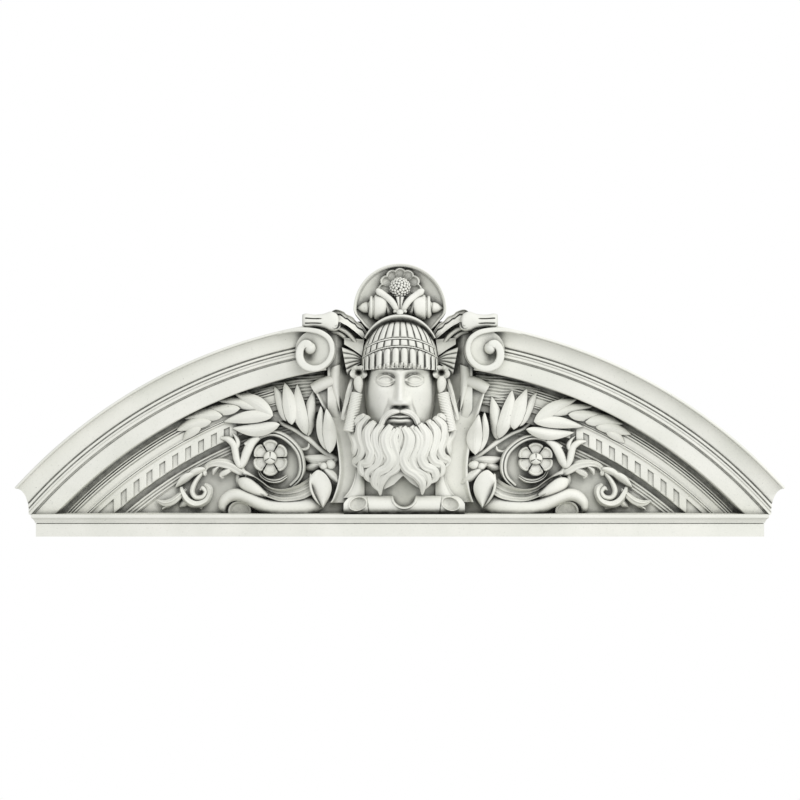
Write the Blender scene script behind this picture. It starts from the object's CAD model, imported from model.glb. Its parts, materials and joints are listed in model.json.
"""A segmental wall pediment in cast stone: moulded arch, bearded mask, volutes, laurel and scrolls."""

import json
import math
from math import pi

import bpy
import numpy as np
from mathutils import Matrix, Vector


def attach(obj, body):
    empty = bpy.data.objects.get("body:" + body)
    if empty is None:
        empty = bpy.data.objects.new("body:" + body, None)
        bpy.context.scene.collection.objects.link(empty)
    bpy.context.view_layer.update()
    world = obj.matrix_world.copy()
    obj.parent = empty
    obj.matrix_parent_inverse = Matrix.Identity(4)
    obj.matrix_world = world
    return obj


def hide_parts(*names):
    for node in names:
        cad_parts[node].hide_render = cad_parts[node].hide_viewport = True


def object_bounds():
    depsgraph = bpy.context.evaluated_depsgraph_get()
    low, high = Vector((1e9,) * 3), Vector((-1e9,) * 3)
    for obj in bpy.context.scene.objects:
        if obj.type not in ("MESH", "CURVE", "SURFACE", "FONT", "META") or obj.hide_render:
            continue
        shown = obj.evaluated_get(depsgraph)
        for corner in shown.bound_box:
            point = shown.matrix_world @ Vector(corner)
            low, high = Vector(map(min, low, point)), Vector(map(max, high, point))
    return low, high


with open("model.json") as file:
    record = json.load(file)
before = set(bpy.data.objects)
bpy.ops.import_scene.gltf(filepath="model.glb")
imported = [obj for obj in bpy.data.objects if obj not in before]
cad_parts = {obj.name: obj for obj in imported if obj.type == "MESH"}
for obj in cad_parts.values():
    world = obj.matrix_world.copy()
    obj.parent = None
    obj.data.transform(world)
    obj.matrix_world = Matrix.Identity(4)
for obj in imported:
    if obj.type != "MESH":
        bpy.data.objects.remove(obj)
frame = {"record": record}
cad_low, cad_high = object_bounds()

# --------------------------------------------------------------------
# The stand: a pale floor well under the piece, a white surround, a large soft light in front
# and a weaker one from the upper right, which models the relief without hard shadows.
floor_w = 2.4
floor_drop = 0.85
bpy.ops.object.select_all(action="DESELECT")
bpy.ops.mesh.primitive_plane_add(size=floor_w, location=(0, 0, -floor_drop))
floor = bpy.context.object
floor.name = "floor"

camera_away = 3.1
relief_away = camera_away - 0.07
view_width = 1.04
bpy.ops.object.camera_add(location=(0, -camera_away, -0.002), rotation=(math.radians(90), 0, 0))
camera = bpy.context.object
camera.data.sensor_width = 36
camera.data.lens = camera.data.sensor_width * relief_away / view_width
bpy.context.scene.camera = camera


def soft_light(name, place, aim, size, watts):
    """A square lamp at place that faces aim, both in metres."""
    bpy.ops.object.light_add(type="AREA", location=place)
    lamp = bpy.context.object
    lamp.name = name
    lamp.data.size = size
    lamp.data.energy = watts
    lamp.rotation_euler = (Vector(aim) - Vector(place)).to_track_quat("-Z", "Y").to_euler()


soft_light("front_light", (0.5, -2.6, 1.3), (0, 0, 0), 1.6, 34)
soft_light("side_light", (1.9, -1.1, 1.0), (0, 0, 0), 0.7, 11)

scene = bpy.context.scene
scene.view_settings.view_transform = "Standard"
scene.world = bpy.data.worlds.new("surround")
scene.world.use_nodes = True


def add(tree, kind, feeds=(), **settings):
    """Adds a node with its settings, and feeds each (output or value, input) pair to it."""
    made = tree.nodes.new(kind)
    for name, value in settings.items():
        if hasattr(made, name):
            setattr(made, name, value)
        else:
            made.inputs[name.replace("_", " ")].default_value = value
    for value, socket in feeds:
        if isinstance(value, bpy.types.NodeSocket):
            tree.links.new(value, made.inputs[socket])
        else:
            made.inputs[socket].default_value = value
    return made


def linear(hex_colour):
    """Linear RGBA from an sRGB hex colour."""
    parts = [int(hex_colour[k : k + 2], 16) / 255 for k in (1, 3, 5)]
    return [p / 12.92 if p <= 0.04045 else ((p + 0.055) / 1.055) ** 2.4 for p in parts] + [1.0]


sky = scene.world.node_tree
sky.nodes.clear()
seen = add(sky, "ShaderNodeLightPath")
fill = add(sky, "ShaderNodeBackground", Color=linear("#F4F6FA"), Strength=0.62)
white = add(sky, "ShaderNodeBackground", Color=linear("#FFFFFF"), Strength=1.0)
mixed = add(sky, "ShaderNodeMixShader",
            [(seen.outputs["Is Camera Ray"], 0), (fill.outputs[0], 1), (white.outputs[0], 2)])
add(sky, "ShaderNodeOutputWorld", [(mixed.outputs[0], "Surface")])

plain = bpy.data.materials.new("plain_floor")
plain.use_nodes = True
plain.node_tree.nodes["Principled BSDF"].inputs["Base Color"].default_value = linear("#E9E8E4")
plain.node_tree.nodes["Principled BSDF"].inputs["Roughness"].default_value = 0.8
floor.data.materials.append(plain)


# --------------------------------------------------------------------
# Cast stone: marble dust in resin, poured in a rubber mould, so it is matt, fine-grained and
# faintly mottled, with pinholes. A grey wash is wiped off the high places and stays in the low.
def mm(size):
    """Noise scale on metre coordinates for a pattern of this size in mm."""
    return 1000 / size


def cast_stone(name, wash):
    """The stone, with the grey wash left in its hollows at the given strength."""
    stone = bpy.data.materials.new(name)
    stone.use_nodes = True
    tree = stone.node_tree
    shader = tree.nodes["Principled BSDF"]
    place = add(tree, "ShaderNodeTexCoord").outputs["Object"]
    near = add(tree, "ShaderNodeAmbientOcclusion", samples=8, Distance=0.011).outputs["AO"]
    wide = add(tree, "ShaderNodeAmbientOcclusion", samples=8, Distance=0.075).outputs["AO"]
    ridge = add(tree, "ShaderNodeNewGeometry").outputs["Pointiness"]

    # Each noise by its size in mm and its detail.
    noises = {}
    for key, size, detail in (("mottle", 70, 4), ("speck", 2.4, 5), ("patch", 9, 4), ("pinhole", 2.1, 2),
                              ("pinhole_patch", 34, 2), ("rough", 14, 3), ("grain", 1.6, 4), ("dent", 16, 3)):
        noise = add(tree, "ShaderNodeTexNoise", [(place, "Vector")], Scale=mm(size), Detail=detail)
        noises[key] = noise.outputs["Fac"]

    # Each source is stretched from its low and high value to the two shares after them.
    shares = {}
    for key, source, low, high, start, end in (
        ("near", near, 0.80, 0.30, 0, 1), ("wide", wide, 0.72, 0.18, 0, 1),
        ("ridge", ridge, 0.487, 0.42, 0, 0.8), ("mottle", noises["mottle"], 0.35, 0.65, 0, 1),
        ("speck", noises["speck"], 0.58, 0.72, 0, 0.35), ("patch", noises["patch"], 0.3, 0.7, 0.72, 1.12),
        ("pinhole", noises["pinhole"], 0.735, 0.765, 0, 1), ("rough", noises["rough"], 0.3, 0.7, 0.7, 0.88),
        ("pinhole_patch", noises["pinhole_patch"], 0.48, 0.6, 0, 1),
    ):
        ends = {"From_Min": low, "From_Max": high, "To_Min": start, "To_Max": end}
        shares[key] = add(tree, "ShaderNodeMapRange", [(source, "Value")], **ends).outputs[0]
    for key, operation, first, second in (
        ("crevice", "MAXIMUM", "near", "ridge"), ("hollow", "MULTIPLY", "wide", "patch"),
        ("hollow_wash", "MULTIPLY", "hollow", 0.42 * wash), ("crevice", "MULTIPLY", "crevice", "patch"),
        ("crevice_wash", "MULTIPLY", "crevice", wash), ("pit", "MULTIPLY", "pinhole", "pinhole_patch"),
        ("pit_stain", "MULTIPLY", "pit", 0.75),
    ):
        feeds = [(shares[first], 0), (shares.get(second, second), 1)]
        shares[key] = add(tree, "ShaderNodeMath", feeds, operation=operation).outputs[0]

    # The colours lie over each other in this order.
    body = linear("#F4F3EA")
    for key, colour in (("mottle", "#EAEAE0"), ("speck", "#D2D3CA"), ("hollow_wash", "#8E9088"),
                        ("crevice_wash", "#3C3D37"), ("pit_stain", "#6B6C64")):
        layers = [(shares[key], 0), (body, 6), (linear(colour), 7)]
        body = add(tree, "ShaderNodeMix", layers, data_type="RGBA").outputs[2]
    tree.links.new(body, shader.inputs["Base Color"])
    tree.links.new(shares["rough"], shader.inputs["Roughness"])
    shader.inputs["Specular IOR Level"].default_value = 0.32

    grain = add(tree, "ShaderNodeBump", [(noises["grain"], "Height")], Strength=0.22, Distance=0.0004)
    dents = add(tree, "ShaderNodeBump", [(noises["dent"], "Height"), (grain.outputs[0], "Normal")],
                Strength=0.35, Distance=0.0012)
    sunk = add(tree, "ShaderNodeBump", [(shares["pit"], "Height"), (dents.outputs[0], "Normal")],
               Strength=0.5, Distance=0.0008, invert=True)
    tree.links.new(sunk.outputs[0], shader.inputs["Normal"])
    return stone


carved_stone = cast_stone("cast_stone_carving", 1.0)
moulded_stone = cast_stone("cast_stone_mouldings", 0.85)


# --------------------------------------------------------------------
# Cornice: one moulding run round the arch and returned to the wall at both ends. Its profile is
# a lip, a broad hollow, three fillets, a flat band, a deep cove and a bed of thin fillets. Sizes
# are in mm: across from the centre line, up from the underside and out from the wall.
half_w = cad_high.x * 1000
hang_h = -cad_low.z * 1000


def at(across, up, out):
    """Points in metres, one row each; the origin is level with the hanging holes."""
    across, up, out = np.broadcast_arrays(across, up, out)
    return np.stack([across, -np.asarray(out), up - hang_h], axis=-1) / 1000


def lay(name, columns, rows, place):
    """Adds a grid and lays it over a surface: place turns its two shares, 0 to 1, into mm."""
    bpy.ops.object.select_all(action="DESELECT")
    bpy.ops.mesh.primitive_grid_add(x_subdivisions=columns, y_subdivisions=rows, size=2)
    piece = bpy.context.object
    piece.name = name
    flat = np.empty(len(piece.data.vertices) * 3, np.float32)
    piece.data.vertices.foreach_get("co", flat)
    u, v = (flat.reshape(-1, 3)[:, :2].T.astype(float) + 1) / 2
    piece.data.vertices.foreach_set("co", at(*place(u, v)).astype(np.float32).ravel())
    return piece


def seal(piece, foot=None):
    """Closes a piece: merges its seams, runs any open edge back to foot mm from the wall, and fills it."""
    bpy.ops.object.select_all(action="DESELECT")
    piece.select_set(True)
    bpy.context.view_layer.objects.active = piece
    bpy.ops.object.mode_set(mode="EDIT")
    bpy.ops.mesh.select_mode(type="VERT")
    bpy.ops.mesh.select_all(action="SELECT")
    bpy.ops.mesh.remove_doubles(threshold=0.00002)
    if foot is not None:
        bpy.ops.mesh.select_all(action="DESELECT")
        bpy.ops.mesh.select_non_manifold()
        bpy.ops.mesh.extrude_region_move()
        bpy.ops.transform.resize(value=(1, 0, 1), center_override=(0, -foot / 1000, 0))
        bpy.ops.mesh.edge_face_add()
        bpy.ops.mesh.select_all(action="SELECT")
    bpy.ops.mesh.normals_make_consistent(inside=False)
    bpy.ops.object.mode_set(mode="OBJECT")
    return piece


def finish(name, parts, material, angle=40):
    """Joins the parts into one named piece that stands for the casting, with its finish."""
    bpy.ops.object.select_all(action="DESELECT")
    for part in parts:
        part.select_set(True)
    bpy.context.view_layer.objects.active = parts[0]
    if len(parts) > 1:
        bpy.ops.object.join()
    piece = bpy.context.object
    piece.name = name
    bpy.ops.object.shade_smooth_by_angle(angle=math.radians(angle))
    piece.data.materials.clear()
    piece.data.materials.append(material)
    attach(piece, "root")
    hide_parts("pediment")
    return piece


def soften(corners, r):
    """A profile with two points in place of each corner, as a mould leaves it."""
    points = [corners[0]]
    for before, corner, after in zip(corners, corners[1:], corners[2:]):
        before, corner, after = (np.array(p, float) for p in (before, corner, after))
        for other in (before, after):
            away = other - corner
            length = np.linalg.norm(away)
            points.append(corner + away / length * min(r, length / 3))
    return np.array(points + [corners[-1]], float)


tip_h = 65.0
arch_rise = 221.0
arch_r = (half_w**2 + arch_rise**2) / (2 * arch_rise)
arch_cy = tip_h + arch_rise - arch_r
tip_over = 16.0
ledge_half = half_w - tip_over
ledge_top = 29.0
lip_proj = 74.0
bead_proj = 58.0
corona_proj = 52.0
cove_proj = 28.0
field_t = 12.0
hollow_start = 3.5
beads_start = 27.0
cove_start = 60.0
bed_start = 68.0
band_start = 92.0
step_start = 113.0
field_start = 133.0


def fillet(start, width, front, groove):
    """A thin raised fillet and the groove after it."""
    return [(start, front), (start + 0.6 * width, front), (start + 0.72 * width, front - groove),
            (start + width, front - groove)]


cornice = soften(
    [(0, 6), (0, lip_proj - 1), (1.2, lip_proj), (hollow_start - 0.6, lip_proj), (hollow_start, lip_proj - 6),
     (hollow_start + 0.8, lip_proj - 6)]
    + [(hollow_start + (beads_start - 1.5 - hollow_start) * (1 - math.cos(t)),
        lip_proj - 3 - (lip_proj - 4 - bead_proj) * math.sin(t)) for t in np.linspace(0.3, 1.5, 8)]
    + [(beads_start - 1.3, bead_proj - 3)]
    + fillet(beads_start, 4.2, bead_proj, 3)
    + fillet(beads_start + 4.2, 3.6, bead_proj - 1.6, 1.2)
    + fillet(beads_start + 7.8, 4.8, bead_proj - 2.6, 4.8)
    + [(beads_start + 13.2, bead_proj - 7.4), (beads_start + 13.8, corona_proj), (cove_start, corona_proj),
       (cove_start + 1, corona_proj - 1), (cove_start + 1.2, cove_proj - 4), (cove_start + 3.5, cove_proj - 9),
       (cove_start + 7.8, cove_proj - 8)]
    + fillet(bed_start, 3.4, cove_proj - 3, 3.6)
    + fillet(bed_start + 3.4, 3.2, cove_proj - 0.4, 3)
    + fillet(bed_start + 6.6, 3.2, cove_proj + 1.2, 1.4)
    + [(bed_start + 10.5, cove_proj + 1.4), (bed_start + 15, cove_proj + 0.6), (bed_start + 19, cove_proj + 0.6)]
    + fillet(bed_start + 19, 2.4, cove_proj + 1.4, 1.2)
    + fillet(bed_start + 21.4, 2.6, cove_proj + 1.6, 1.8)
    + [(band_start, cove_proj - 1), (band_start + 6, cove_proj - 1), (band_start + 6.2, cove_proj - 4.2),
       (step_start, cove_proj - 4.2), (step_start + 0.6, field_t), (step_start + 8, field_t - 2.5)]
    + fillet(step_start + 8, 3.8, field_t + 5.2, 2)
    + fillet(step_start + 11.8, 3.8, field_t + 4.2, 2)
    + fillet(step_start + 15.6, 4.0, field_t + 3.2, 2)
    + [(field_start, field_t), (field_start, 6)],
    0.4,
)

# The cornice stops on the ledge, or in a hollow at its end that is returned to the wall.
end_rise = np.linspace(0, pi / 2, 14)
end_up = np.concatenate([[0], ledge_top + 5 + (tip_h - 2 - ledge_top - 5) * np.sin(end_rise), [tip_h]])
end_across = np.concatenate([[ledge_half + 1], ledge_half + 1 + (tip_over - 1) * (1 - np.cos(end_rise)), [half_w]])


def end_turn(inset, start):
    """The turn at which the line at this inset meets the ledge or the end hollow."""
    turns = np.linspace(start, math.asin(half_w / arch_r) + 0.15, 5000)
    across, up = (arch_r - inset) * np.sin(turns), arch_cy + (arch_r - inset) * np.cos(turns)
    stopped = (across > np.interp(up, end_up, end_across)) | (up < ledge_top - 1)
    return turns[np.argmax(stopped)] if stopped.any() else turns[-1]


def mirrored(piece):
    """A copy of the piece for the other half."""
    copy = bpy.data.objects.new(piece.name, piece.data.copy())
    bpy.context.collection.objects.link(copy)
    flat = np.empty(len(copy.data.vertices) * 3, np.float32)
    copy.data.vertices.foreach_get("co", flat)
    flat[::3] *= -1
    copy.data.vertices.foreach_set("co", flat)
    copy.data.flip_normals()
    return copy


arch_start = math.asin(106 / arch_r)
ends = np.array([end_turn(inset, arch_start) for inset in cornice[:, 0]])


def run_arch(u, v):
    index = np.round(u * (len(cornice) - 1)).astype(int)
    turn = arch_start + (ends[index] - arch_start) * v
    r = arch_r - cornice[index, 0]
    return r * np.sin(turn), arch_cy + r * np.cos(turn), cornice[index, 1]


arch = seal(lay("arch", len(cornice) - 1, 110, run_arch), foot=4)
finish("cornice_left", [mirrored(arch)], moulded_stone, 32)
finish("cornice_right", [arch], moulded_stone, 32)

# --------------------------------------------------------------------
# Dentils: small upright blocks under the bed moulding, cast with it. The row starts beyond the
# foliage and runs down until it meets the ledge.
dentil_pitch = 17.0
dentil_w = 9.5
dentil_first = 186.0
dentil_last = 373.0
dentil_foot = step_start - 0.5


def dentil(x):
    """One tooth: upright sides, its head and foot following the arch."""
    def rise(inset, across):
        return arch_cy + np.sqrt((arch_r - inset) ** 2 - across**2)

    def place(u, v):
        across = x + (u - 0.5) * dentil_w
        top, foot = rise(band_start + 4.5, across), rise(dentil_foot, across)
        return across, np.maximum(foot + (top - foot) * v, ledge_top - 1), cove_proj - 1.15 + 0 * u

    tooth = seal(lay("dentil", 3, 3, place), foot=14)
    edge = tooth.modifiers.new("edge", "BEVEL")
    edge.width = 0.0006
    edge.segments = 2
    edge.limit_method = "ANGLE"
    bpy.ops.object.modifier_apply(modifier=edge.name)
    return tooth


teeth = [dentil(x) for x in np.arange(dentil_first, dentil_last + 1, dentil_pitch)]
finish("dentils_left", [mirrored(tooth) for tooth in teeth], moulded_stone)
finish("dentils_right", teeth, moulded_stone)

# --------------------------------------------------------------------
# Base: a plain fascia with a small cove and ledge over it, mitred round both ends. The field and
# the flat back close the casting. The back is scraped level and has two blind hanging holes.
fascia_h = 17.0
fascia_proj = 63.0
fascia_half = 474.5
ledge_over = 7.0
base_profile = soften(
    [(0, 0), (fascia_h, 0), (fascia_h, -1.2), (fascia_h + 0.8, -1.2), (fascia_h + 0.8, 1.5), (20, 1.5), (20, 2.2),
     (21, 2.6), (22.5, 3.6), (24, 5.4), (24.6, ledge_over), (ledge_top, ledge_over), (ledge_top, -60)],
    0.5,
)


def run_base(u, v):
    profile = base_profile[np.round(u * (len(base_profile) - 1)).astype(int)]
    corner = np.round(v * 3).astype(int)
    side = np.where(corner < 2, -1, 1)
    out = np.where((corner == 0) | (corner == 3), 1.5, fascia_proj + profile[:, 1])
    across = side * (fascia_half + 0.75 * profile[:, 1])
    return across, profile[:, 0], np.maximum(out, 1.5)


base = lay("base", len(base_profile) - 1, 3, run_base)
seal(base)
finish("base", [base], moulded_stone, 30)


def field_place(u, v):
    across = (2 * u - 1) * (ledge_half - 70)
    top = arch_cy + np.sqrt((arch_r - field_start + 2) ** 2 - across**2)
    up = ledge_top - 2 + (np.maximum(top, ledge_top - 1) - ledge_top + 2) * v
    return across, up, field_t + 0.5 * np.sin(across / 23) * np.sin(up / 17)


field = seal(lay("field", 160, 60, field_place), foot=4)
finish("field", [field], carved_stone)


def bare_back(u, v):
    """Slab behind everything, just inside the outline of arch and base."""
    inset = 1.6
    across = (2 * u - 1) * (half_w - inset)
    reach = np.abs(across)
    top = arch_cy + np.sqrt((arch_r - inset) ** 2 - across**2)
    low = np.where(reach > fascia_half, tip_h - 20 * np.sqrt(np.clip(half_w - reach, 0, 16) / 16) - 2, inset)
    return across, low + (top - low) * v, 6 + 0 * u


back = seal(lay("back", 200, 30, bare_back), foot=0)
hole_r = 5.0
hole_x = [m["pos_m"][0] for m in frame["record"]["mounts"] if m["kind"] == "bore"]
for x in hole_x:
    bpy.ops.object.select_all(action="DESELECT")
    bpy.ops.mesh.primitive_cylinder_add(vertices=40, radius=hole_r / 1000, depth=0.06, location=(x, 0, 0),
                                        rotation=(pi / 2, 0, 0))
    drill = bpy.context.object
    bpy.ops.object.select_all(action="DESELECT")
    back.select_set(True)
    bpy.context.view_layer.objects.active = back
    hole = back.modifiers.new("hole", "BOOLEAN")
    hole.object = drill
    hole.solver = "EXACT"
    bpy.ops.object.modifier_apply(modifier=hole.name)
    bpy.data.objects.remove(drill)
finish("back", [back], moulded_stone)

# --------------------------------------------------------------------
# Volutes: each end of the cornice's lip curls over into a spiral with a round eye. They are the
# most forward part of the mouldings and are cast solid with them.
def smooth(controls, count):
    """count points of a smooth curve through the controls."""
    c = np.array(controls, float)
    t = np.linspace(0, len(c) - 1, count)
    k = np.minimum(t.astype(int), len(c) - 2)
    f = (t - k)[:, None]
    before, start, end, after = (c[np.clip(k + s, 0, len(c) - 1)] for s in (-1, 0, 1, 2))
    return 0.5 * (2 * start + (end - before) * f + (2 * before - 5 * start + 4 * end - after) * f**2
                  + (3 * start - before - 3 * end + after) * f**3)


def tube(name, controls, rings=24, around=14, grooves=0, depth=0.2, twist=0.0, boxy=1.0):
    """A closed form along controls of (across, up, out, half-width, half-height), grooved lengthwise."""
    path = smooth(controls, rings + 1)
    run = np.gradient(path[:, :3], axis=0)
    run /= np.linalg.norm(run, axis=1)[:, None]
    beside = np.cross([0, 0, 1.0], run)
    beside /= np.linalg.norm(beside, axis=1)[:, None]
    above = np.cross(run, beside)

    def place(u, v):
        step = np.round(u * (rings + 2)).astype(int)
        k = np.clip(step - 1, 0, rings)
        turn = 2 * pi * v
        open_here = (step > 0) & (step < rings + 2)
        size = open_here * (1 - depth * (0.5 - 0.5 * np.cos(grooves * turn + twist * k)) * (grooves > 0))
        wide, high = np.maximum(path[k, 3], 0.1) * size, np.maximum(path[k, 4], 0.1) * size
        across, out = (np.sign(w) * np.abs(w) ** boxy for w in (np.cos(turn), np.sin(turn)))
        return (path[k, :3] + beside[k] * (wide * across)[:, None] + above[k] * (high * out)[:, None]).T

    return seal(lay(name, rings + 2, around, place))


def disc(name, centre, reach, out, rings=24, spokes=96, foot=8):
    """A round relief: reach is its radius, plain or by turn; out gives its height by share and turn."""
    def place(u, v):
        turn = 2 * pi * v
        r = (reach(turn) if callable(reach) else reach) * u
        return centre[0] + r * np.cos(turn), centre[1] + r * np.sin(turn), out(u, turn)

    return seal(lay(name, rings, spokes, place), foot)


def ball(name, place, r, flat=1.0):
    """A small round bead."""
    bpy.ops.object.select_all(action="DESELECT")
    bpy.ops.mesh.primitive_ico_sphere_add(subdivisions=2, radius=1)
    piece = bpy.context.object
    piece.name = name
    co = np.empty(len(piece.data.vertices) * 3, np.float32)
    piece.data.vertices.foreach_get("co", co)
    x, y, z = co.reshape(-1, 3).T.astype(float)
    piece.data.vertices.foreach_set("co", at(place[0] + r * x, place[1] + r * z, place[2] - r * y * flat)
                                    .astype(np.float32).ravel())
    return piece


def hump(x, wide, power=2):
    """A soft ridge, 1 high where x is 0."""
    return np.exp(-(np.abs(x / wide) ** power))


def held(x):
    """A share held between 0 and 1."""
    return np.clip(x, 0, 1)


def bump(x, y, wide, high):
    """A soft round swelling, 1 high where x and y are 0."""
    return hump(x, wide) * hump(y, high)


def both(name, parts, material=carved_stone, angle=40, droop=0.0):
    """Finishes the parts as the right-hand piece and their mirror as the left-hand one.

    The model was carved by hand, so droop sets the right-hand foliage lower and further out."""
    finish(name + "_left", [mirrored(part) for part in parts], material, angle)
    for part in parts:
        flat = np.empty(len(part.data.vertices) * 3, np.float32)
        part.data.vertices.foreach_get("co", flat)
        across, up = flat[::3] * 1000, flat[2::3] * 1000 + hang_h
        lean = (0.85 + 0.002 * (across - 98)) * held((across - 74) / 14)
        lean += 0.9 * held((up - 150) / 50) * held((across - 115) / 30)
        flat[::3] += droop * lean / 1000
        flat[2::3] -= droop * held((up - 90) / 70) / 1000
        part.data.vertices.foreach_set("co", flat)
    finish(name + "_right", parts, material, angle)


volute = (110.0, 242.6)
volute_r = 26.0


def volute_floor(share, turn):
    x, y = share * volute_r * np.cos(turn), share * volute_r * np.sin(turn)
    groove = bump(x - 9.5, y + 8, 7, 9)
    return 71 - 0.2 * x + 0.12 * np.clip(y, 0, 30) + 2.5 * share**2 - 7 * groove


lip_band = tube("lip_band", [(168, 262.5, 66, 1.5, 3), (152, 266.4, 70, 2.2, 5), (140, 268.6, 71, 2.5, 6),
    (128, 269.4, 72, 2.9, 7), (115, 268.4, 73, 3.3, 8), (102, 265, 74, 3.5, 9), (91.5, 256.5, 74, 3.5, 9),
    (88, 243, 74, 3.5, 9), (92, 230, 74, 3.6, 9), (102, 221, 74, 3.9, 9), (114, 218.8, 74, 4.4, 9),
    (124.8, 223.4, 74, 5, 9), (130, 233, 74, 5.2, 9), (129.2, 243.6, 74, 5, 9), (124, 250.4, 74.5, 5.2, 9),
    (119, 249.4, 75, 5.8, 9), (117, 246.5, 75, 4, 8)], 140, 36, boxy=0.38)
eye = ball("eye", (117.2, 245.6, 74), 8.3, 1.25)
both("volute", [disc("volute", volute, volute_r, volute_floor, 50, 120, 20), lip_band, eye], moulded_stone)

# --------------------------------------------------------------------
# Brackets: a fluted handle lies on each volute, ends in a small scroll, and a scalloped wing and a
# double strap run from it down behind the brim. They are cast solid with the ground.
def between(name, first, second, out, along=36, across=12, foot=10):
    """A relief between two smooth edges: out gives its height by the shares along and across."""
    one, two = smooth(first, along + 1), smooth(second, along + 1)

    def place(u, v):
        k = np.round(u * along).astype(int)
        x, y = (one[k] * (1 - v)[:, None] + two[k] * v[:, None]).T
        return x, y, out(u, v)

    return seal(lay(name, along, across, place), foot)


def handle_out(u, v):
    grooves = hump(v - 0.34, 0.035) + hump(v - 0.68, 0.035)
    length = held((u - 0.12) / 0.04) * held((0.5 - u) / 0.08)
    ends = held(1 - (2 * u - 1) ** 8) ** 0.5
    return 62 + ends * (8 + 9 * np.sqrt(held(1 - (2 * v - 1) ** 2)) ** 0.8 - 3.4 * grooves * length)


handle = between("handle", [(127.5, 289), (122, 290.5), (112, 289), (100, 290), (90, 293), (82.5, 290),
    (79, 283)],
    [(127.5, 273), (122, 271.5), (112, 272.5), (100, 271), (91, 268), (83, 269), (79, 276)],
    handle_out, 70, 44, 30)
small_scroll = disc("scroll", (84, 275), 6.2,
                    lambda s, t: 79 - 4 * np.abs(np.sin(1.5 * pi * s + t / 2)) - 2 * s, 16, 48, 40)


def wing_out(u, v):
    rim = 4.5 * hump(v, 0.12) + 2.5 * hump(1 - v, 0.1)
    scallop = hump(v - 0.36 - 0.12 * np.abs(np.sin(pi * 4.5 * u)), 0.05)
    return 50 + 10 * (1 - u) + rim - 3 * scallop + 2 * (v > 0.42)


wing = between("wing", [(92, 291), (84, 296), (74, 293.5), (70, 290), (62, 286.5), (57, 281), (50, 276.5),
    (43, 266)],
    [(90, 280), (82, 281), (73, 277), (69, 275), (62, 270), (57, 266), (51, 261), (46, 257)],
    wing_out, 90, 50, 10)
straps = [
    tube("strap", [(88, 273, 50, 2.5, 4), (78, 272, 48, 3.2, 5), (66, 264, 44, 3.2, 5), (56, 250, 38, 3, 4)],
        24),
    tube("strap", [(90, 268, 44, 2.5, 4), (80, 266, 42, 3, 5), (70, 258, 38, 3, 5), (62, 246, 32, 3, 4)],
        24),
]
both("bracket", [handle, small_scroll, wing] + straps)

# --------------------------------------------------------------------
# Head ground: the sunk ground behind the head and between the volutes, and the cartouche straps
# that run from the collar up to a rolled end under each volute. All are cast in one with the field.
ground = lay("ground", 50, 40, lambda u, v: (
    (2 * u - 1) * (62 + 33 * held(3 * v)), 110 + 165 * v,
    20 + 21 * held((np.abs(2 * u - 1) - 0.7) * 6) * held(2.5 * v)))
finish("head_ground", [seal(ground, 4)], carved_stone)


def shield_out(u, v):
    roll = 7 * hump(v - 0.06, 0.09) + 3 * hump(1 - v, 0.06)
    return 35 + 2 * np.sin(pi * u) + 0.6 * roll - 4 * np.sin(pi * v) ** 0.7 + 4 * v


shield = between("shield", [(112.6, 190.7), (101.7, 169), (85.7, 133), (79.7, 93.2), (81.8, 69.3),
    (87.8, 50), (92, 43)],
    [(86.7, 196.7), (71.8, 168.9), (60, 139.1), (50, 109.2), (48, 77.2), (56, 52), (62, 43)],
    shield_out, 60, 30, 10)
rolled = tube("rolled", [(86, 204.5, 36, 7.6, 8), (96, 201.4, 37, 8, 9), (106, 197, 37, 8, 9),
    (114, 192.5, 36, 7.6, 8)], 20, 30)


def hatching_place(u, v):
    across = 100 + 96 * u
    scores = np.abs(np.sin(pi * (10 * v + 3 * u + 0.12 * np.sin(19 * u + 9 * v)))) ** 1.4
    out = 30.5 - 9 * held(1.6 * u - 0.6) - 8 * held(1 - 5 * v) + 1.9 * scores - 3 * v
    return across, arch_cy + np.sqrt((arch_r - 61 - 42 * v) ** 2 - across**2), out


hatching = seal(lay("hatching", 150, 90, hatching_place), 12)
right_shield = between("shield", [(112.6, 190.7), (106, 169), (96, 133), (90, 105), (89, 80), (92, 58),
    (96.6, 44)],
    [(86.7, 196.7), (71.8, 168.9), (62, 139), (54, 109), (54, 77), (62, 52), (70, 43)],
    shield_out, 60, 30, 10)
finish("cartouche_left", [mirrored(part) for part in (shield, rolled, hatching)], carved_stone)
finish("cartouche_right", [right_shield, rolled, hatching], carved_stone)
bpy.data.objects.remove(shield)

# --------------------------------------------------------------------
# Niche: a round dished disc stands above the head. In it lie a scalloped shell, a berry on two
# rolled leaves with a knot, and a turned spool with an acorn end on each side.
niche_y = 296.0
niche_r = 61.0
niche_proj = 46.0
niche_edge = np.array([(60.8, 296), (59.5, 291), (52, 282), (42, 271), (30, 262), (0, 258)])
turns_below = np.arctan2(niche_edge[:, 1] - niche_y, niche_edge[:, 0])
reach_below = np.hypot(niche_edge[:, 0], niche_edge[:, 1] - niche_y)


def niche_reach(turn):
    lean = np.arctan2(np.sin(turn), np.abs(np.cos(turn)))
    return np.where(lean > 0, niche_r, np.interp(lean, turns_below[::-1], reach_below[::-1]))


def niche_out(share, turn):
    rim = held((share - 0.925) / 0.02)
    edge = held((share - 0.985) / 0.015)
    return 27 + 12 * share**4 + (niche_proj - 39) * rim - 1.5 * edge


niche = disc("niche", (0, niche_y), niche_reach, niche_out, 70, 160, 4)
finish("niche", [niche], carved_stone, 35)

shell_lobes = 12


def shell_reach(turn):
    return 24.6 + 4.4 * np.abs(np.cos(shell_lobes / 2 * (turn - pi / 2))) ** 0.6


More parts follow.
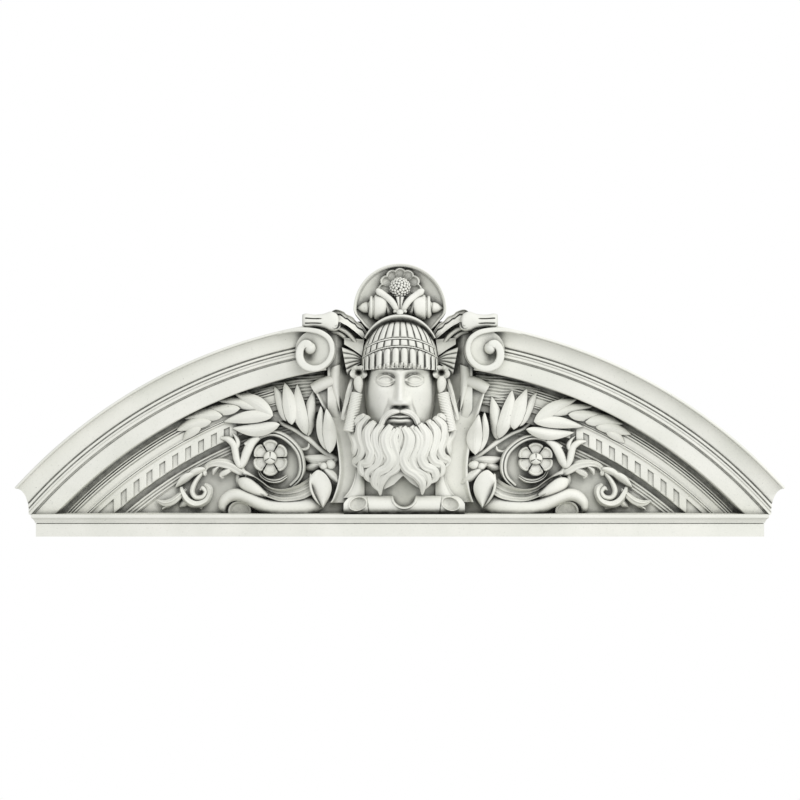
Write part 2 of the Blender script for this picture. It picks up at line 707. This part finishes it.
def shell_out(share, turn):
    lobe = np.abs(np.cos(shell_lobes / 2 * (turn - pi / 2)))
    rim = 3.6 * hump(share - 0.93, 0.05) + 2.6 * hump(lobe, 0.4) * held(share * 1.6 - 0.6)
    return 32 + 6 * share**2 + rim


shell = disc("shell", (0, 323.5), shell_reach, shell_out, 36, 180, 24)
core = disc("core", (0, 325), 11.8, lambda s, t: 40 + 12 * np.sqrt(held(1 - s * s)), 12, 36, 26)
finish("shell", [shell], carved_stone, 45)

berry_y = 325.0
berry_r = 12.4
bead_r = 2.15
bead_count = 64
golden_turn = 2.39996
beads = [core]
for k in range(bead_count):
    height = 1 - (k + 0.5) / (bead_count + 4)
    spread, turn = math.sqrt(1 - height * height), k * golden_turn
    x, y = berry_r * spread * math.cos(turn), berry_y + berry_r * spread * math.sin(turn)
    beads.append(ball("bead", (x, y, 41 + 13 * height), bead_r))
finish("berry", beads, carved_stone, 60)

v_leaf = tube("v_leaf", [(3, 292, 50, 3, 3), (6, 299, 52, 3.8, 3.5), (12, 308, 51, 4.4, 3.6),
    (21, 315.5, 48, 4.3, 3.5), (27, 319.5, 47, 4.6, 3.8), (30, 323, 46, 2.5, 3)], 26, 16)
stalk = tube("stalk", [(2, 292, 50, 2, 2), (2, 303, 50, 1.8, 2), (3, 313, 49, 2.6, 2.4)], 12, 10)
side_bead = ball("side_bead", (6, 293.5, 52), 3.1)
spool = tube("spool", [(3, 298, 38, 6, 6), (10, 299, 38, 8.4, 8), (17, 299.5, 38, 10.6, 10),
    (17.8, 299.6, 38, 15.2, 13), (21, 300, 38, 16.6, 15), (27, 300, 38, 17.2, 15.5),
    (32.5, 300, 38, 16, 14.5), (34, 300, 38, 13.4, 12), (35.4, 300, 38, 13.4, 12),
    (36.4, 300, 38, 14.8, 13), (38.6, 300, 38, 14.6, 13), (39.8, 300, 38, 12.6, 11),
    (40.6, 300, 38, 6.4, 6), (44, 299.6, 38, 7, 7), (50, 299, 38, 5.6, 5.6), (56.5, 298.6, 38, 0.8, 0.8)],
    84, 36)
both("spool", [v_leaf, stalk, side_bead, spool])
finish("knot", [ball("knot", (0, 291.5, 68), 4.6)], carved_stone, 60)

# --------------------------------------------------------------------
# Brim: the front edge of the hood over the cap, a thin roll above a hollow underside. It is cast
# with the ground behind the head and follows the crown of the cap.
brim_r = 54.1
brim_cy = 234.5
brim_turn = math.radians(62)
brim_section = smooth([(0, 44), (0.2, 63), (0.9, 71), (2, 73), (3.2, 71.5), (5, 67), (8, 61), (10.5, 57),
    (12, 53)], 22)


def run_brim(u, v):
    k = np.round(v * 21).astype(int)
    turn = brim_turn * (2 * u - 1)
    r = brim_r - brim_section[k, 0] + 1.4 * np.cos(2 * turn) * hump(brim_section[k, 0], 3)
    return r * np.sin(turn), brim_cy + r * np.cos(turn), brim_section[k, 1] - 10 * (turn / brim_turn) ** 2


finish("brim", [seal(lay("brim", 90, 21, run_brim), 20)], carved_stone)

# --------------------------------------------------------------------
# Cap: a close cap of rounded blocks in rows, as rows of cut curls: tall flutes under the brim, a row
# of small blocks between two bands, and long lobes with pointed feet over the forehead.
cap_foot = 219.0
cap_top = 280.0
cap_turn = math.radians(84)
curls = 13


def block(share, cycles, start, sharp):
    """Rounded blocks side by side, as a height of 0 to 1, from an angle in radians."""
    inside = held(np.abs(((share * cycles + start) % 1) * 2 - 1) * 1.16)
    return np.sqrt(held(1 - inside**sharp))


def row(s, low, high):
    """A height of 0 to 1 between two levels, round at both."""
    return np.sqrt(held(1 - np.abs((2 * s - low - high) / (high - low)) ** 4))


def run_cap(u, v):
    y = cap_foot + (cap_top - cap_foot) * v
    half = np.interp(y, [214, 222, 236, 250, 262, 272, 281], [50, 51, 50.5, 47.5, 42.5, 36, 29])
    around = (2 * u - 1) * cap_turn
    x = half * np.sin(around)
    level = y + 11 * (np.abs(x) / 48) ** 2.2
    share = around / (2 * cap_turn) + 0.5
    dome = 30 + 58 * np.cos(around) ** 0.62
    dome -= 12 * held((y - 236) / 44) ** 2 + 13 * held((y - 266) / 14) ** 2
    flutes = block(share, curls, 0.5, 3.4) * row(level, 259, 282)
    small = block(share, curls, 0.5, 4) * row(level, 248.3, 256.5)
    bands = 0.75 * (row(level, 246.4, 248.3) + row(level, 256.7, 258.8))
    lobe = np.abs(np.cos(pi * share * curls))
    lobes = 1.5 * block(share, curls, 0.5, 2.2) * row(level, 222, 238 + 8 * lobe**0.35)
    tips = 0.7 * block(share, 2 * curls, 0.25, 2) * row(level, 218 + 3 * np.sin(71 * share) ** 2, 227)
    return x, y - 2.4 * (np.abs(x) / 48) ** 2, dome + 3.8 * (flutes + small + bands + lobes + tips)


finish("cap", [seal(lay("cap", 330, 130, run_cap), 20)], carved_stone, 50)

# --------------------------------------------------------------------
# Face: a calm mask on the classical canon, the eyes at half the height of the head and the rest in
# thirds, with plain open almond eyes. It is made as one relief, finished smooth by hand.
crown = 284.0
chin = 124.0
third = (crown - chin) / 3.5
brow_y = chin + 2 * third
eye_y = (crown + chin) / 2
nose_y = chin + third
mouth_y = nose_y - third / 3
eye_x = 19.0
cheek_out = 84.0


def run_face(u, v):
    y = 132 + 98 * v
    half = np.interp(y, [130, 150, 170, 190, 210, 235], [36, 41, 45, 46.5, 46.5, 45])
    x = half * np.sin((2 * u - 1) * pi / 2)
    a = np.abs(x)
    out = 24 + (cheek_out - 24) * held(1 - (a / (half + 0.4)) ** 2.7) ** 0.5
    out -= 5 * ((y - 185) / 50) ** 2
    brow = brow_y - 1 + 3.4 * np.sin(pi * held((a - 5) / 36)) - 2 * held((a - 30) / 14)
    out += 4.4 * hump(y - brow, 3.4) * hump(a - 20, 17, 4)
    out -= 8.0 * bump(a - eye_x, y - eye_y - 1, 13, 7.5) + 3.6 * bump(a - 9.5, y - eye_y - 1, 4.5, 7)
    eyeball = np.sqrt(held(1 - ((a - eye_x) / 12.5) ** 2 - ((y - eye_y) / 8.6) ** 2))
    out += 6.6 * eyeball
    opening = np.cos(pi / 2 * np.clip((a - eye_x) / 11, -1, 1))
    upper, lower = eye_y + 4.6 * opening, eye_y - 3.4 * opening
    lidded = hump(a - eye_x, 12, 6)
    out += lidded * (2.6 * hump(y - upper - 0.8, 1.4) + 1.8 * hump(y - lower + 0.7, 1.3))
    out -= lidded * (1.4 * hump(y - upper - 3.4, 1.0) + 0.6 * hump(y - lower + 3.0, 1.0))
    high = np.interp(y, [nose_y - 3, nose_y, nose_y + 3, nose_y + 8, nose_y + 20, eye_y + 2, brow_y + 6],
                     [0, 5, 14.5, 17.5, 12.5, 7.5, 3])
    wide = np.interp(y, [nose_y - 2, nose_y + 4, nose_y + 12, nose_y + 28, brow_y + 4], [8.5, 8.2, 6.2, 5, 8])
    out += high * hump(a, wide, 2.8)
    out += 7.6 * bump(a - 9.6, y - nose_y - 4.6, 4.4, 4.8) - 1.6 * bump(a - 15.4, y - nose_y - 5, 1.8, 6)
    out -= 7.5 * bump(a - 4.9, y - nose_y + 0.6, 2.7, 1.7)
    out += 3.0 * bump(a - 30, y - nose_y - 20, 12, 10) - 2.2 * bump(a - 31, y - mouth_y - 6, 9, 12)
    out -= 1.8 * hump(a - 15 - 0.35 * (nose_y + 4 - y), 2.2) * hump(y - nose_y + 5, 9)
    mouth = mouth_y - 0.6 * np.cos(a / 4.2) * hump(a, 10) - 0.03 * np.clip(a - 8, 0, 9) ** 1.6
    lip_w = held(1 - (a / 15.5) ** 2.4)
    out += 4.6 * bump(a, y - mouth_y, 17, 9)
    out += lip_w * (3.4 * hump(y - mouth - 2.7, 2.2) + 4.2 * hump(y - mouth + 3.2, 2.6))
    out -= 3.2 * hump(y - mouth, 0.8) * hump(a, 16, 8)
    out -= 1.3 * bump(a, y - mouth_y - 8.5, 2, 3.5) + 3 * bump(a, y - mouth_y + 8.6, 10, 2.6)
    return x, y, out


finish("face", [seal(lay("face", 190, 190, run_face), 20)], carved_stone, 80)

# --------------------------------------------------------------------
# Beard and moustache: long waved locks in overlapping rows over a solid core. Every lock is scored
# along its length and turns the same way as its neighbour. It parts into two lobes at the foot.
def beard_out(x, y):
    """Height of the beard's surface."""
    side = np.sqrt(held(1 - (np.abs(x - 2) / 68) ** 2.4))
    return 26 + 57 * side * np.interp(y, [50, 62, 80, 105, 150], [0.5, 0.66, 0.84, 0.97, 1.0])


def lock(path, lift=2.0, width=6.6):
    """A long waved lock along (across, up) places, lying on the beard and tapering to a curled tip."""
    x, y = np.array(path, float).T
    share = np.linspace(0, 1, len(x))
    wide = width * np.interp(share, [0, 0.12, 0.55, 0.85, 1], [0.5, 0.95, 1, 0.8, 0.2])
    z = beard_out(x, y) + lift - 2 * share
    return tube("lock", np.column_stack([x, y, z, wide, 0.8 * wide]), 12 * len(x), 42, 8, 0.15, 0.015)


beard_foot = [(-66, 112), (-52, 84), (-38, 70), (-21, 61), (-8, 68), (4, 80), (14, 70), (29, 60), (44, 72),
    (56, 86), (70, 114)]


def run_core(u, v):
    x = -60 + 125 * u
    low = np.interp(x, *zip(*beard_foot))
    high = 150 - 12 * (np.abs(x - 2) / 62) ** 4 - 5 * hump(x, 17, 4)
    y = low + (high - low) * v
    return x, y, beard_out(x, y) - 3.5


hair = [lock([(0, 144), (2.5, 131), (-1, 117), (2, 104), (0, 92)], 1.5, 6.4),
    seal(lay("core_beard", 60, 40, run_core), 16)]
waves = [
    [(4, 143), (11, 131), (9, 117), (4, 103), (9, 90), (21, 81), (29, 70), (29, 55)],
    [(14, 144), (22, 131), (21, 116), (15, 102), (20, 90), (32, 83), (36, 72), (30, 61)],
    [(25, 147), (33, 134), (32, 119), (27, 105), (32, 93), (43, 87), (45, 77), (35, 69)],
    [(36, 151), (44, 138), (43, 123), (39, 109), (44, 98), (52, 93), (52, 83), (42, 78)],
    [(45, 155), (54, 144), (54, 129), (50, 115), (54, 104), (61, 98), (57, 89)],
    [(50, 158), (61, 149), (65, 136), (60, 122), (62, 111), (66, 104)],
]
for k, wave in enumerate(waves):
    lift = (3.4, 1.4)[k % 2]
    hair.append(lock(wave, lift, 7.8))
    hair.append(lock([(2.5 - 0.97 * x, y + 1.5 * math.sin(x)) for x, y in wave], 5 - lift, 7.8))
    if k < 5:
        hair.append(lock([(x + 5, y - 1) for x, y in wave[:5]], 4.6, 4.4))
        hair.append(lock([(-2.5 - 0.97 * x, y - 2) for x, y in wave[:6]], 4.2, 4.4))
for side in (-1, 1):
    tash = [(0.5, 163.5, 91, 2.2, 3), (7, 163.2, 91, 3.6, 4), (14, 160.5, 88, 3.9, 4.4),
        (20, 154.5, 83.5, 3.9, 4.4), (23.5, 147, 81, 4.2, 4.4), (26, 139, 79, 4, 4), (31, 132, 76, 1.4, 2)]
    path = [(side * x, y, z, w, h) for x, y, z, w, h in tash]
    hair.append(tube("moustache", path, 60, 30, 6, 0.26, 0.03))
finish("beard", hair, carved_stone, 60)

# --------------------------------------------------------------------
# Side hair: at each temple a ribbon, a pleated fan and a bell flower, from which a bud, a twisted
# tress, a long tassel and a plain tapering end hang beside the face.
ribbon = between("ribbon", [(47, 257), (58, 258.5), (73, 259)],
    [(50, 236), (60, 243), (73, 251)],
    lambda u, v: 44 + 8 * v + 3 * hump(v, 0.12) - 4 * np.sin(pi * u) * (1 - v), 24, 16)
fan = between("fan", [(49, 233), (60, 241), (76, 247)],
    [(51, 226), (58, 220), (69, 211)],
    lambda u, v: 46 + 5 * u + 2.6 * np.abs(np.sin(pi * 5 * v)) ** 0.8 * (0.35 + u), 26, 60)


def bell_reach(turn):
    return 9.6 + 2.0 * np.abs(np.cos(2.5 * (turn + pi / 2))) - 1.5 * (np.sin(turn) > 0.6)


def bell_out(share, turn):
    return 60 + 5 * np.cos(2.5 * (turn + pi / 2)) ** 2 * share - 14 * hump(share, 0.3)


bell = disc("bell", (54, 214), bell_reach, bell_out, 20, 60, 30)
bud = tube("bud", [(54, 208, 58, 4.5, 4.5), (54, 202, 59, 6.6, 6), (53.6, 194, 58, 5.6, 5.4),
    (53, 186, 56, 2.4, 3), (52.8, 182, 54, 0.5, 1)], 24, 18, 3, 0.08)
tress_path = [(56 + 10.5 * s, 187 - 50 * s, 55 + 7 * s, 8, 7) for s in np.linspace(0, 1, 34)]
tress = tube("tress", tress_path, 99, 32, 6, 0.14, 0.9)
tassel = tube("tassel", [(62, 205, 48, 3, 3), (65, 193, 49, 4.4, 4.4), (68.5, 177, 47, 4.6, 4.4),
    (72, 162, 45, 4.6, 4.4), (74, 152, 44, 3.6, 3.6)], 60, 24, 7, 0.16, 0.2)
tusk = between("tusk", [(91, 220), (91, 205), (88.5, 190), (84, 176), (79, 163)],
    [(78, 225), (79, 208), (78.5, 190), (78, 176), (78, 163)],
    lambda u, v: 42 + 5 * np.sin(pi * v) ** 0.8 - 5 * u, 40, 16, 10)
both("side_hair", [ribbon, fan, bell, bud, tress, tassel, tusk])

# --------------------------------------------------------------------
# Collar: the mask ends in a rolled collar with a notch in the middle and an oval recess at each
# end. Two lapels rise from it behind the beard over a plain chest.
notch_r = 14.3
collar_half = 79.0
collar_foot = 28.0
collar_top = 52.5
collar_shift = 5.5


def run_collar(u, v):
    x = (2 * u - 1) * collar_half
    top = collar_top - np.sqrt(np.clip(notch_r**2 - x**2, 0, None))
    top -= 0.002 * np.clip(np.abs(x) - 62, 0, 20) ** 3
    y = collar_foot + (top - collar_foot) * v
    out = 44 + 18 * np.sqrt(held(1 - ((y - 40) / 13.5) ** 2))
    gap = np.abs(np.hypot(x, y - collar_top) - notch_r - 1.5)
    out += 2.6 * hump(gap, 1.4, 4)
    lean = np.abs(x) - 60 + (y - 44) * 0.25
    oval = np.hypot(lean / 10.2, (y - 42.5) / 8.2)
    out += 1.8 * hump(oval - 1.1, 0.12) - 9 * np.sqrt(held(1 - oval**2))
    out -= 1.6 * hump(np.abs(x) - 46 - (y - collar_foot) * 0.12, 0.7)
    return x + collar_shift, y, out


chest = lay("chest", 30, 20, lambda u, v: (92 * u - 46, 31 + 73 * v, 38 + 2 * np.sin(pi * u)))
finish("collar", [seal(lay("collar", 280, 44, run_collar), 15)], carved_stone)
finish("chest", [seal(chest, 10)], carved_stone)
lapel = between("lapel", [(74, 50), (66, 60), (60, 74), (57, 92)],
    [(46.5, 50), (46.5, 60), (46.5, 74), (46.5, 92)],
    lambda u, v: 46 + 5 * np.sin(pi * v) + 3 * hump(v, 0.1), 24, 16, 12)
both("lapel", [lapel])

# --------------------------------------------------------------------
# Laurel: a branch rises from each side of the head and fills the corner under the cornice. Its
# leaves are pointed and ridged down the middle, and overlap in two layers.
def leaf(base, tip, width, out=(25, 18), bow=0.0, rise=4.2, foot=7):
    """A laurel leaf from base to tip, ridged along its middle, its edges run back into the field."""
    base, tip = np.array(base, float), np.array(tip, float)
    along = tip - base
    beside = np.array([-along[1], along[0]]) / np.linalg.norm(along)

    def place(u, v):
        share, across = u**0.9, 2 * v - 1
        half = 0.58 * width * np.sin(pi * share**0.8) ** 0.8
        aside = half * across + bow * np.sin(pi * share)
        x = base[0] + along[0] * share + beside[0] * aside
        y = base[1] + along[1] * share + beside[1] * aside
        swell = np.sin(pi * share**0.8) ** 0.6
        fold = 1 - 0.75 * np.abs(across) - 0.25 * np.abs(across) ** 4
        near = held((np.hypot(x, y - arch_cy) - arch_r + step_start + 38) / 36)
        over = 13 * near**2 * (3 - 2 * near)
        body = swell * (rise * fold - 0.7 * hump(across, 0.07))
        return x, y, out[0] + (out[1] - out[0]) * share + over + body

    return seal(lay("leaf", 22, 24, place), foot)


branch = [(82.8, 98.5, 22, 4, 4), (98.9, 109, 22, 3.8, 4), (121.3, 127, 22, 3.4, 3.6),
    (140, 139.5, 22, 3.2, 3.4), (156, 147, 21, 3, 3.2), (167, 157, 21, 2.8, 3), (188.4, 165.5, 20, 2.6, 3),
    (210, 167, 19, 2.3, 2.6), (233, 157, 18, 2, 2.4), (250, 149, 17, 1.6, 2)]
laurel = [
    tube("branch", branch, 60, 14),
    tube("tendril", [(137, 119.6, 20, 2.4, 3), (133, 114, 20, 2.3, 3), (127.5, 112.5, 20, 2.2, 3),
        (121.5, 115, 20, 2, 3), (120, 120.5, 20, 1.4, 2)], 20, 12),
    leaf((97, 112), (104, 170), 13, (36, 33), -2),
    leaf((92, 108), (96.5, 167), 15.5, (42, 38), 2),
    leaf((121, 130), (113.5, 191), 14, (23, 19), -2),
    leaf((123, 132), (135.3, 199), 15.6, (28, 22), -3),
    leaf((150, 150), (165.5, 196), 13, (21, 17), 2),
    leaf((138, 148), (141, 192), 12, (21, 17), 1),
    leaf((142, 145.5), (151.8, 201), 16.6, (28, 22), 2),
    leaf((176, 160), (203, 190), 12, (21, 17), -2),
    leaf((166.8, 157), (218.5, 187), 15.5, (27, 20), 4),
    leaf((188.4, 165.5), (241, 177.5), 11, (23, 18), 3),
    leaf((210, 167), (257, 167), 12.5, (24, 18), -2),
    leaf((166.8, 157.3), (232, 149.6), 14.5, (27, 20), 2),
    leaf((158, 146), (220.5, 141), 15.5, (25, 19), -5),
    leaf((233.4, 157), (283.5, 153.5), 14.5, (24, 18), 3),
    leaf((248, 150), (294.5, 137.5), 14, (23, 18), 3),
    leaf((262, 143), (286, 125), 11, (22, 17), 2),
    leaf((85.3, 100.4), (131, 103), 12.5, (25, 19), -3),
    leaf((105.2, 93), (128, 88), 9.5, (22, 18), -1),
]
both("laurel", laurel, carved_stone, 30, 8)

# --------------------------------------------------------------------
# Rosette: a flower of six cupped petals round a split button. It is cast solid with the field in
# the middle of the scroll and stands a little lower than it.
rose = (171.0, 102.0)
rose_r = 24.0
button_r = 8.6
petal_count = 6


def rose_reach(turn):
    return rose_r * (0.80 + 0.20 * np.abs(np.cos(petal_count / 2 * (turn - pi / 2))) ** 0.55)


def rose_out(share, turn):
    part = np.abs(np.cos(petal_count / 2 * (turn - pi / 2)))
    gap = 4.0 * hump(part, 0.13) * held(share * 2.2 - 0.7)
    rim = 3.6 * hump(share - 0.92, 0.07)
    side_rim = 2.2 * hump(part - 0.30, 0.13) * held(share * 2 - 0.7)
    return 25 + 2.5 * share + rim + side_rim - gap


def button_out(share, turn):
    groove = hump(np.sin(1.5 * (turn - pi / 2)), 0.22) * held(share * 3) * (share < 0.9)
    return 30 + 5.5 * np.sqrt(held(1 - share**2.2)) - 2.2 * groove


petals = disc("petals", rose, rose_reach, rose_out, 44, 216, 9)
button = disc("button", rose, button_r, button_out, 20, 90, 20)
both("rosette", [petals, button], carved_stone, 45, 8)

# --------------------------------------------------------------------
# Scrolls: a double-ribbed stem winds round the rosette into a calyx. From the calyx grow a curled
# acanthus arm, small leaves and an S-shaped scroll that runs out towards the ledge.
def ribbed(controls, rings=60):
    """A stem with two ribs and a groove between them."""
    path = smooth(controls, rings + 1)
    run = np.gradient(path[:, :2], axis=0)
    run /= np.linalg.norm(run, axis=1)[:, None]
    aside = np.column_stack([-run[:, 1], run[:, 0]])
    ribs = []
    for shift in (-0.44, 0.44):
        rib = path.copy()
        rib[:, :2] += aside * path[:, 3:4] * shift
        rib[:, 3] *= 0.58
        ribs.append(tube("rib", rib[:: max(1, rings // 20)], rings, 14))
    return ribs


ring = ribbed([(143, 64, 20, 4, 6), (132, 76, 22, 4.4, 7), (129, 92, 23, 4.6, 7), (134, 111, 23, 4.6, 7),
    (149, 127, 23, 4.6, 7), (167, 134.5, 23, 4.6, 7), (186, 130, 23, 4.6, 7), (203, 117, 24, 5.4, 8)])
inner = ribbed([(186, 84, 17, 2.5, 4), (182, 77, 18, 3, 5), (172, 71.5, 19, 3.2, 6),
    (160, 71.5, 19, 3.2, 6), (150, 77, 17, 2.4, 4)], 30)
calyx = tube("calyx", [(187, 129.5, 24, 5, 7), (196, 121, 25, 6.2, 8), (202, 109, 26, 6.4, 9),
    (206.5, 98, 26, 6, 9), (211, 92.5, 26, 5.6, 9), (214.5, 99, 27, 5, 9), (216.5, 109, 27, 5, 8),
    (219, 119, 27, 4.8, 8), (226, 126, 28, 4.2, 7), (236, 128, 27, 1.4, 3)], 90, 26, boxy=0.8)
horn_tip = tube("horn_tip", [(217, 112, 28, 3.6, 5), (214, 121, 28, 3.6, 5), (217, 130, 26, 2.6, 4),
    (222, 135, 25, 1, 2)], 24, 14)
acanthus = [
    tube("stalk", [(211, 94, 24, 3, 5), (207, 84, 25, 3.4, 5), (200, 79, 24, 3.6, 5), (188, 72, 22, 2.4, 4)],
        24, 14),
    tube("arm", [(205, 80, 22, 4, 5), (212, 85, 25, 6.4, 8), (222, 91, 27, 7.2, 9), (234, 94.5, 27, 6.6, 9),
        (245, 94.5, 26, 5.2, 8), (253, 91.5, 24, 4, 6), (257.5, 86, 23, 3.2, 5), (258, 81.5, 23, 4.2, 5),
        (256.5, 79, 22, 2, 3)], 60, 24, 5, 0.24),
    tube("lobe", [(222, 87, 26, 3, 6), (229, 84, 27, 5, 8), (235, 80, 26, 4.4, 7), (234, 75.5, 24, 2.2, 4)],
        30, 20, 5, 0.2),
    tube("lobe", [(238, 91, 26, 3, 6), (244, 86, 26, 3.8, 6), (246, 80.5, 24, 2, 4)], 26, 18, 4, 0.2),
    leaf((256, 88), (284, 73), 8.5, (23, 18), 2),
    leaf((270, 82), (297, 62), 9, (22, 17), 2),
    leaf((213, 84), (207, 56), 8, (23, 17), 2),
]
scroll = [
    tube("s_scroll", [(256, 86, 20, 2, 4), (264, 79, 22, 3, 6), (271, 68, 23, 3.4, 7),
        (274, 57, 24, 3.6, 7), (269.5, 49.5, 24, 3.6, 7), (260.5, 50, 24, 3.4, 7), (256.5, 56.5, 23, 3, 6),
        (260.5, 61.5, 22, 3.4, 6), (264, 59, 22, 1.8, 4)], 80, 18),
    tube("s_band", [(289, 62, 20, 2.5, 4), (286, 54, 23, 4.4, 7), (279, 44.5, 24, 5.4, 8),
        (268.5, 40.5, 24, 5.6, 8), (257, 44.5, 24, 4.8, 8), (251.5, 53, 23, 4.2, 7),
        (252, 61.5, 22, 4.4, 6), (258, 66.5, 21, 2.5, 4)], 80, 24, 5, 0.2),
    tube("end_leaf", [(283, 60, 20, 2.4, 4), (290, 52, 23, 4.4, 7), (300, 44, 23, 5.2, 7),
        (311, 41.5, 21, 4.4, 6), (321, 45, 18, 1.6, 3)], 40, 22, 5, 0.26),
    tube("end_curl", [(300, 44, 22, 3, 6), (307, 38.5, 21, 3.4, 5), (313, 34, 19, 2, 4)], 22, 16, 4, 0.2),
    leaf((268, 44), (262, 33), 9, (24, 20), 1),
    leaf((281, 47), (292, 36), 8, (24, 19), -1),
]
both("scrollwork", ring + inner + [calyx, horn_tip] + acanthus + scroll, carved_stone, 50, 8)

# --------------------------------------------------------------------
# Horn: a smooth curled horn and an open trough lie along the ledge beside the collar, bound by a
# cuff leaf with a knob and a snail roll.
horn = tube("horn", [(104, 46, 26, 10, 8), (116, 41, 30, 13, 11), (132, 36, 32, 14, 13),
    (152, 34.5, 33, 13, 13), (172, 36.5, 33, 11, 12), (188, 43, 32, 9, 12), (201, 49.5, 31, 8.4, 12),
    (213, 53, 30, 8.4, 12), (224, 51, 29, 8.2, 11), (232, 43.5, 28, 7, 10), (233.5, 35, 26, 5, 8),
    (231, 29, 22, 3, 5)], 90, 32)
mouth_rim = disc("mouth_rim", (211, 32), lambda t: 15 - 2 * np.sin(t) ** 2,
                 lambda s, t: 33 + 4 * hump(s - 0.9, 0.1) - 7 * (1 - s) ** 0.4, 24, 90, 10)


def trough_out(u, v):
    bowl = 12 * np.sin(pi * v) ** 0.8 * np.sin(pi * held(u * 1.05)) ** 0.5
    rim = 3 * hump(v, 0.07) + 3.4 * hump(1 - v, 0.07)
    ridges = 1.8 * np.abs(np.sin(pi * (3.2 * v + 0.6 * u))) ** 2
    return 41 - 10 * u - 0.8 * bowl + rim + ridges


trough = between("trough", [(116, 78), (135, 66), (154, 60.5), (170, 62.5), (181, 70), (190, 76), (202, 80)],
    [(113, 56), (128.7, 47.8), (153.7, 45), (172, 50), (190, 59), (200, 67), (206, 75)],
    trough_out, 60, 36, 9)
bulge = tube("bulge", [(176, 52, 30, 4, 6), (190, 60, 33, 8, 9), (203, 67.5, 31, 9.5, 9),
    (211, 72, 26, 4, 5)], 34, 26)
cuff = between("cuff", [(118, 78), (108, 86), (97, 80), (90, 66), (92, 52), (100.5, 37)],
    [(117, 64), (116, 62), (115, 58), (113, 52), (109, 46), (102, 38)],
    lambda u, v: 40 + 9 * np.sin(pi * (0.12 + 0.8 * v)) ** 0.7 - 3 * u, 60, 24, 9)
rim_band = tube("rim_band", [(117, 79, 38, 1.6, 4), (117.5, 69, 45, 1.8, 5), (115.5, 58, 47, 1.8, 5),
    (110, 47, 43, 1.6, 5), (102, 37, 34, 0.8, 3)], 36, 14)
snail = ball("snail", (91, 93, 38), 6.8)
knob = ball("knob", (100, 91, 40), 5.2)
strap_end = tube("strap_end", [(106, 94, 32, 2.5, 4), (97, 86, 38, 5, 5), (88, 78, 38, 5.4, 5),
    (80, 69, 32, 3, 4)], 28, 20, 4, 0.2)
both("horn", [horn, mouth_rim, trough, bulge, cuff, rim_band, snail, knob, strap_end], carved_stone, 45, 8)
